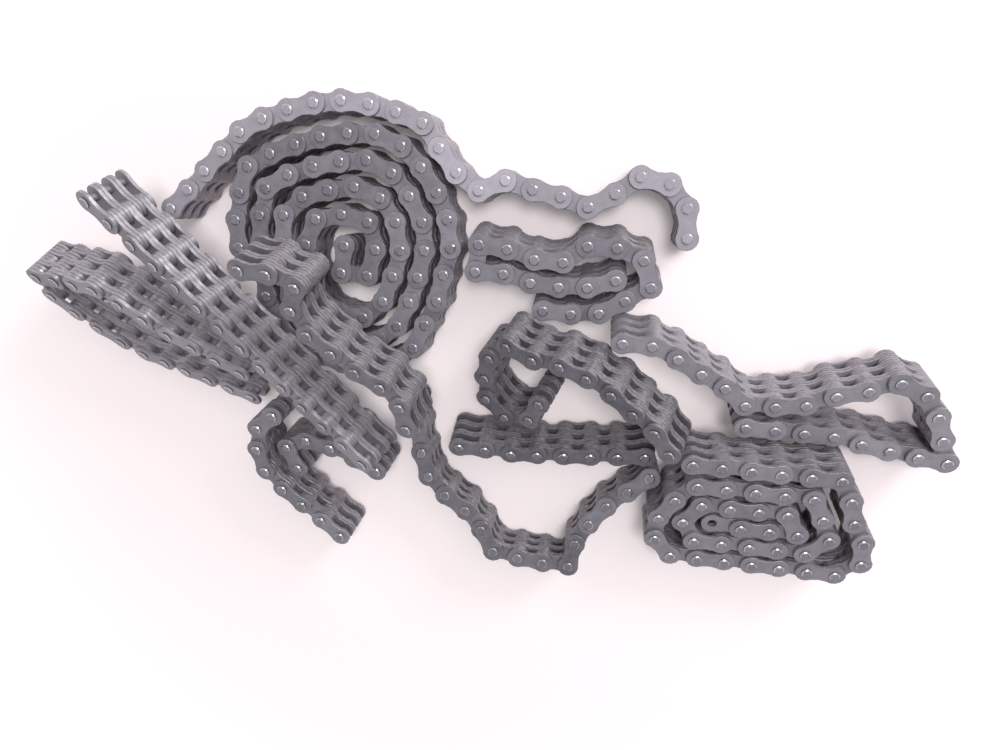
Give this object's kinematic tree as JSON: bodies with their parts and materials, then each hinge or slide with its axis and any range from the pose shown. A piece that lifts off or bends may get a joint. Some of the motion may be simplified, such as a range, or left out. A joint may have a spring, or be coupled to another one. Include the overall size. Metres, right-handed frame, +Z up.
{
  "type": "leaf chain",
  "caption": "Heap of dark oiled steel leaf chain: interlaced plates on riveted pins, coiled, folded and laid over one another.",
  "frame": {"origin": "on the floor below the middle of the heap", "axes": "+Z up, +X along the heap's length to the nested pack, +Y towards the arc round the coil"},
  "size_m": [0.5398, 0.2866, 0.0903],
  "materials": {
    "plate_steel": "dark oiled steel, satin",
    "pin_steel": "dark steel with bright worn rivet heads"
  },
  "bodies": {
    "heap": {"coil_outer_plates": "plate_steel", "coil_inner_plates": "plate_steel", "coil_pins": "pin_steel", "arc_outer_plates": "plate_steel", "arc_inner_plates": "plate_steel", "arc_pins": "pin_steel", "fold_outer_plates": "plate_steel", "fold_inner_plates": "plate_steel", "fold_pins": "pin_steel", "pack_outer_plates": "plate_steel", "pack_inner_plates": "plate_steel", "pack_pins": "pin_steel", "zigzag_outer_plates": "plate_steel", "zigzag_inner_plates": "plate_steel", "zigzag_pins": "pin_steel", "strip_outer_plates": "plate_steel", "strip_inner_plates": "plate_steel", "strip_pins": "pin_steel", "loop_outer_plates": "plate_steel", "loop_inner_plates": "plate_steel", "loop_pins": "pin_steel", "low_run_outer_plates": "plate_steel", "low_run_inner_plates": "plate_steel", "low_run_pins": "pin_steel", "bight_outer_plates": "plate_steel", "bight_inner_plates": "plate_steel", "bight_pins": "pin_steel", "top_run_outer_plates": "plate_steel", "top_run_inner_plates": "plate_steel", "top_run_pins": "pin_steel", "hairpin_outer_plates": "plate_steel", "hairpin_inner_plates": "plate_steel", "hairpin_pins": "pin_steel", "doubled_outer_plates": "plate_steel", "doubled_inner_plates": "plate_steel", "doubled_pins": "pin_steel"},
    "tail_link_1": {"tail_inner_plates_1": "plate_steel"},
    "tail_link_2": {"tail_outer_plates_1": "plate_steel", "tail_pins_1": "pin_steel"},
    "tail_link_3": {"tail_inner_plates_2": "plate_steel"},
    "tail_link_4": {"tail_outer_plates_2": "plate_steel", "tail_pins_2": "pin_steel"},
    "tail_link_5": {"tail_inner_plates_3": "plate_steel"},
    "tail_link_6": {"tail_outer_plates_3": "plate_steel", "tail_pins_3": "pin_steel"},
    "tail_link_7": {"tail_inner_plates_4": "plate_steel"},
    "tail_link_8": {"tail_outer_plates_4": "plate_steel", "tail_pins_4": "pin_steel"},
    "tip_link_1": {"tip_outer_plates": "plate_steel", "tip_outer_pins": "pin_steel"},
    "tip_link_2": {"tip_inner_plates": "plate_steel"},
    "tip_link_3": {"tip_end_plates": "plate_steel", "tip_end_pins": "pin_steel"},
    "coil_end_link": {"coil_end_plates": "plate_steel", "coil_end_pins": "pin_steel"}
  },
  "joints": [
    {"name": "tail_hinge_1", "type": "hinge", "parent": "heap", "child": "tail_link_1", "pos_m": [0.01686, 0.09473, 0.01506], "axis": [0, 0, 1], "range_deg": [0, 15]},
    {"name": "tail_hinge_2", "type": "hinge", "parent": "tail_link_1", "child": "tail_link_2", "pos_m": [0.03195, 0.08982, 0.01506], "axis": [0, 0, 1], "range_deg": [0, 15]},
    {"name": "tail_hinge_3", "type": "hinge", "parent": "tail_link_2", "child": "tail_link_3", "pos_m": [0.04736, 0.08598, 0.01506], "axis": [0, 0, 1], "range_deg": [0, 15]},
    {"name": "tail_hinge_4", "type": "hinge", "parent": "tail_link_3", "child": "tail_link_4", "pos_m": [0.06227, 0.08055, 0.01506], "axis": [0, 0, 1], "range_deg": [0, 15]},
    {"name": "tail_hinge_5", "type": "hinge", "parent": "tail_link_4", "child": "tail_link_5", "pos_m": [0.07654, 0.08751, 0.01506], "axis": [0, 0, 1], "range_deg": [0, 15]},
    {"name": "tail_hinge_6", "type": "hinge", "parent": "tail_link_5", "child": "tail_link_6", "pos_m": [0.0897, 0.09639, 0.01506], "axis": [0, 0, 1], "range_deg": [0, 15]},
    {"name": "tail_hinge_7", "type": "hinge", "parent": "tail_link_6", "child": "tail_link_7", "pos_m": [0.10511, 0.09255, 0.01506], "axis": [0, 0, 1], "range_deg": [0, 15]},
    {"name": "tail_hinge_8", "type": "hinge", "parent": "tail_link_7", "child": "tail_link_8", "pos_m": [0.11488, 0.08004, 0.01506], "axis": [0, 0, 1], "range_deg": [0, 15]},
    {"name": "tip_hinge_1", "type": "hinge", "parent": "heap", "child": "tip_link_1", "pos_m": [-0.12387, -0.09087, 0.02035], "axis": [-0.0827, -0.2273, 0.9703], "range_deg": [0, 15]},
    {"name": "tip_hinge_2", "type": "hinge", "parent": "tip_link_1", "child": "tip_link_2", "pos_m": [-0.11239, -0.10172, 0.01879], "axis": [-0.0827, -0.2273, 0.9703], "range_deg": [0, 15]},
    {"name": "tip_hinge_3", "type": "hinge", "parent": "tip_link_2", "child": "tip_link_3", "pos_m": [-0.1009, -0.11257, 0.01722], "axis": [-0.0827, -0.2273, 0.9703], "range_deg": [0, 15]},
    {"name": "coil_end_hinge", "type": "hinge", "parent": "heap", "child": "coil_end_link", "pos_m": [-0.14264, 0.07302, 0.01506], "axis": [0, 0, 1], "range_deg": [-20, 0]}
  ]
}
